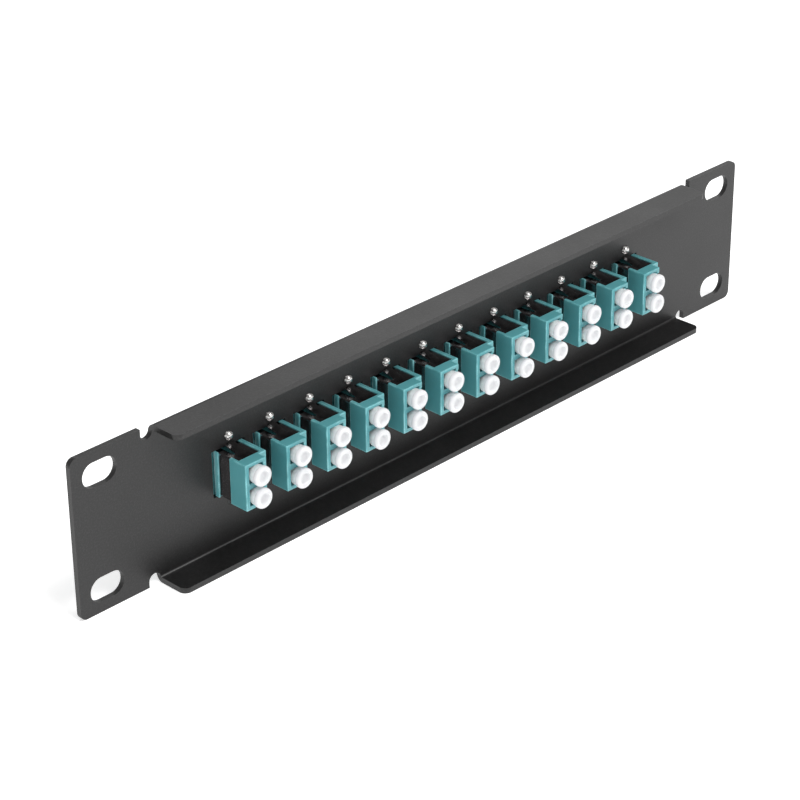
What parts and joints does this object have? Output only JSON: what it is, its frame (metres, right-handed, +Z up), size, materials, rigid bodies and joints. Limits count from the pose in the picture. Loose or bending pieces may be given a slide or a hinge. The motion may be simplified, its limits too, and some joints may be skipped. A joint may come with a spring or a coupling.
{
  "type": "fibre patch panel",
  "caption": "Folded steel rack panel with slotted ears and a row of flanged duplex fibre adapters, each socket closed by a white dust cap.",
  "frame": {"origin": "centre of the four rack slots, on the face of the sheet that meets the rack rails", "axes": "+X along the panel, +Z up its height, -Y into the rack, the way the flanges point"},
  "size_m": [0.254, 0.033, 0.0444],
  "materials": {
    "panel_paint": "fine dark grey powder coat",
    "adapter_plastic": "smooth moulded aqua plastic",
    "clip_steel": "polished spring steel",
    "screw_steel": "bright nickel plate",
    "sleeve_ceramic": "polished white zirconia",
    "cap_plastic": "soft satin white plastic"
  },
  "bodies": {
    "panel": {"adapter_clips": "clip_steel", "adapter_housing_01": "adapter_plastic", "adapter_housing_02": "adapter_plastic", "adapter_housing_03": "adapter_plastic", "adapter_housing_04": "adapter_plastic", "adapter_housing_05": "adapter_plastic", "adapter_housing_06": "adapter_plastic", "adapter_housing_07": "adapter_plastic", "adapter_housing_08": "adapter_plastic", "adapter_housing_09": "adapter_plastic", "adapter_housing_10": "adapter_plastic", "adapter_housing_11": "adapter_plastic", "adapter_housing_12": "adapter_plastic", "alignment_sleeves": "sleeve_ceramic", "panel_screws": "screw_steel", "panel_sheet": "panel_paint"},
    "front_cap_01": {"front_cap_01": "cap_plastic"},
    "front_cap_02": {"front_cap_02": "cap_plastic"},
    "front_cap_03": {"front_cap_03": "cap_plastic"},
    "front_cap_04": {"front_cap_04": "cap_plastic"},
    "front_cap_05": {"front_cap_05": "cap_plastic"},
    "front_cap_06": {"front_cap_06": "cap_plastic"},
    "front_cap_07": {"front_cap_07": "cap_plastic"},
    "front_cap_08": {"front_cap_08": "cap_plastic"},
    "front_cap_09": {"front_cap_09": "cap_plastic"},
    "front_cap_10": {"front_cap_10": "cap_plastic"},
    "front_cap_11": {"front_cap_11": "cap_plastic"},
    "front_cap_12": {"front_cap_12": "cap_plastic"},
    "rear_cap_lower_01": {"rear_cap_lower_01": "cap_plastic"},
    "rear_cap_lower_02": {"rear_cap_lower_02": "cap_plastic"},
    "rear_cap_lower_03": {"rear_cap_lower_03": "cap_plastic"},
    "rear_cap_lower_04": {"rear_cap_lower_04": "cap_plastic"},
    "rear_cap_lower_05": {"rear_cap_lower_05": "cap_plastic"},
    "rear_cap_lower_06": {"rear_cap_lower_06": "cap_plastic"},
    "rear_cap_lower_07": {"rear_cap_lower_07": "cap_plastic"},
    "rear_cap_lower_08": {"rear_cap_lower_08": "cap_plastic"},
    "rear_cap_lower_09": {"rear_cap_lower_09": "cap_plastic"},
    "rear_cap_lower_10": {"rear_cap_lower_10": "cap_plastic"},
    "rear_cap_lower_11": {"rear_cap_lower_11": "cap_plastic"},
    "rear_cap_lower_12": {"rear_cap_lower_12": "cap_plastic"},
    "rear_cap_upper_01": {"rear_cap_upper_01": "cap_plastic"},
    "rear_cap_upper_02": {"rear_cap_upper_02": "cap_plastic"},
    "rear_cap_upper_03": {"rear_cap_upper_03": "cap_plastic"},
    "rear_cap_upper_04": {"rear_cap_upper_04": "cap_plastic"},
    "rear_cap_upper_05": {"rear_cap_upper_05": "cap_plastic"},
    "rear_cap_upper_06": {"rear_cap_upper_06": "cap_plastic"},
    "rear_cap_upper_07": {"rear_cap_upper_07": "cap_plastic"},
    "rear_cap_upper_08": {"rear_cap_upper_08": "cap_plastic"},
    "rear_cap_upper_09": {"rear_cap_upper_09": "cap_plastic"},
    "rear_cap_upper_10": {"rear_cap_upper_10": "cap_plastic"},
    "rear_cap_upper_11": {"rear_cap_upper_11": "cap_plastic"},
    "rear_cap_upper_12": {"rear_cap_upper_12": "cap_plastic"}
  },
  "joints": [
    {"name": "front_cap_01_pull", "type": "slide", "parent": "panel", "child": "front_cap_01", "axis": [0, 1, 0], "range_m": [0, 0.012]},
    {"name": "front_cap_02_pull", "type": "slide", "parent": "panel", "child": "front_cap_02", "axis": [0, 1, 0], "range_m": [0, 0.012]},
    {"name": "front_cap_03_pull", "type": "slide", "parent": "panel", "child": "front_cap_03", "axis": [0, 1, 0], "range_m": [0, 0.012]},
    {"name": "front_cap_04_pull", "type": "slide", "parent": "panel", "child": "front_cap_04", "axis": [0, 1, 0], "range_m": [0, 0.012]},
    {"name": "front_cap_05_pull", "type": "slide", "parent": "panel", "child": "front_cap_05", "axis": [0, 1, 0], "range_m": [0, 0.012]},
    {"name": "front_cap_06_pull", "type": "slide", "parent": "panel", "child": "front_cap_06", "axis": [0, 1, 0], "range_m": [0, 0.012]},
    {"name": "front_cap_07_pull", "type": "slide", "parent": "panel", "child": "front_cap_07", "axis": [0, 1, 0], "range_m": [0, 0.012]},
    {"name": "front_cap_08_pull", "type": "slide", "parent": "panel", "child": "front_cap_08", "axis": [0, 1, 0], "range_m": [0, 0.012]},
    {"name": "front_cap_09_pull", "type": "slide", "parent": "panel", "child": "front_cap_09", "axis": [0, 1, 0], "range_m": [0, 0.012]},
    {"name": "front_cap_10_pull", "type": "slide", "parent": "panel", "child": "front_cap_10", "axis": [0, 1, 0], "range_m": [0, 0.012]},
    {"name": "front_cap_11_pull", "type": "slide", "parent": "panel", "child": "front_cap_11", "axis": [0, 1, 0], "range_m": [0, 0.012]},
    {"name": "front_cap_12_pull", "type": "slide", "parent": "panel", "child": "front_cap_12", "axis": [0, 1, 0], "range_m": [0, 0.012]},
    {"name": "rear_cap_lower_01_pull", "type": "slide", "parent": "panel", "child": "rear_cap_lower_01", "axis": [0, -1, 0], "range_m": [0, 0.012]},
    {"name": "rear_cap_lower_02_pull", "type": "slide", "parent": "panel", "child": "rear_cap_lower_02", "axis": [0, -1, 0], "range_m": [0, 0.012]},
    {"name": "rear_cap_lower_03_pull", "type": "slide", "parent": "panel", "child": "rear_cap_lower_03", "axis": [0, -1, 0], "range_m": [0, 0.012]},
    {"name": "rear_cap_lower_04_pull", "type": "slide", "parent": "panel", "child": "rear_cap_lower_04", "axis": [0, -1, 0], "range_m": [0, 0.012]},
    {"name": "rear_cap_lower_05_pull", "type": "slide", "parent": "panel", "child": "rear_cap_lower_05", "axis": [0, -1, 0], "range_m": [0, 0.012]},
    {"name": "rear_cap_lower_06_pull", "type": "slide", "parent": "panel", "child": "rear_cap_lower_06", "axis": [0, -1, 0], "range_m": [0, 0.012]},
    {"name": "rear_cap_lower_07_pull", "type": "slide", "parent": "panel", "child": "rear_cap_lower_07", "axis": [0, -1, 0], "range_m": [0, 0.012]},
    {"name": "rear_cap_lower_08_pull", "type": "slide", "parent": "panel", "child": "rear_cap_lower_08", "axis": [0, -1, 0], "range_m": [0, 0.012]},
    {"name": "rear_cap_lower_09_pull", "type": "slide", "parent": "panel", "child": "rear_cap_lower_09", "axis": [0, -1, 0], "range_m": [0, 0.012]},
    {"name": "rear_cap_lower_10_pull", "type": "slide", "parent": "panel", "child": "rear_cap_lower_10", "axis": [0, -1, 0], "range_m": [0, 0.012]},
    {"name": "rear_cap_lower_11_pull", "type": "slide", "parent": "panel", "child": "rear_cap_lower_11", "axis": [0, -1, 0], "range_m": [0, 0.012]},
    {"name": "rear_cap_lower_12_pull", "type": "slide", "parent": "panel", "child": "rear_cap_lower_12", "axis": [0, -1, 0], "range_m": [0, 0.012]},
    {"name": "rear_cap_upper_01_pull", "type": "slide", "parent": "panel", "child": "rear_cap_upper_01", "axis": [0, -1, 0], "range_m": [0, 0.012]},
    {"name": "rear_cap_upper_02_pull", "type": "slide", "parent": "panel", "child": "rear_cap_upper_02", "axis": [0, -1, 0], "range_m": [0, 0.012]},
    {"name": "rear_cap_upper_03_pull", "type": "slide", "parent": "panel", "child": "rear_cap_upper_03", "axis": [0, -1, 0], "range_m": [0, 0.012]},
    {"name": "rear_cap_upper_04_pull", "type": "slide", "parent": "panel", "child": "rear_cap_upper_04", "axis": [0, -1, 0], "range_m": [0, 0.012]},
    {"name": "rear_cap_upper_05_pull", "type": "slide", "parent": "panel", "child": "rear_cap_upper_05", "axis": [0, -1, 0], "range_m": [0, 0.012]},
    {"name": "rear_cap_upper_06_pull", "type": "slide", "parent": "panel", "child": "rear_cap_upper_06", "axis": [0, -1, 0], "range_m": [0, 0.012]},
    {"name": "rear_cap_upper_07_pull", "type": "slide", "parent": "panel", "child": "rear_cap_upper_07", "axis": [0, -1, 0], "range_m": [0, 0.012]},
    {"name": "rear_cap_upper_08_pull", "type": "slide", "parent": "panel", "child": "rear_cap_upper_08", "axis": [0, -1, 0], "range_m": [0, 0.012]},
    {"name": "rear_cap_upper_09_pull", "type": "slide", "parent": "panel", "child": "rear_cap_upper_09", "axis": [0, -1, 0], "range_m": [0, 0.012]},
    {"name": "rear_cap_upper_10_pull", "type": "slide", "parent": "panel", "child": "rear_cap_upper_10", "axis": [0, -1, 0], "range_m": [0, 0.012]},
    {"name": "rear_cap_upper_11_pull", "type": "slide", "parent": "panel", "child": "rear_cap_upper_11", "axis": [0, -1, 0], "range_m": [0, 0.012]},
    {"name": "rear_cap_upper_12_pull", "type": "slide", "parent": "panel", "child": "rear_cap_upper_12", "axis": [0, -1, 0], "range_m": [0, 0.012]}
  ]
}
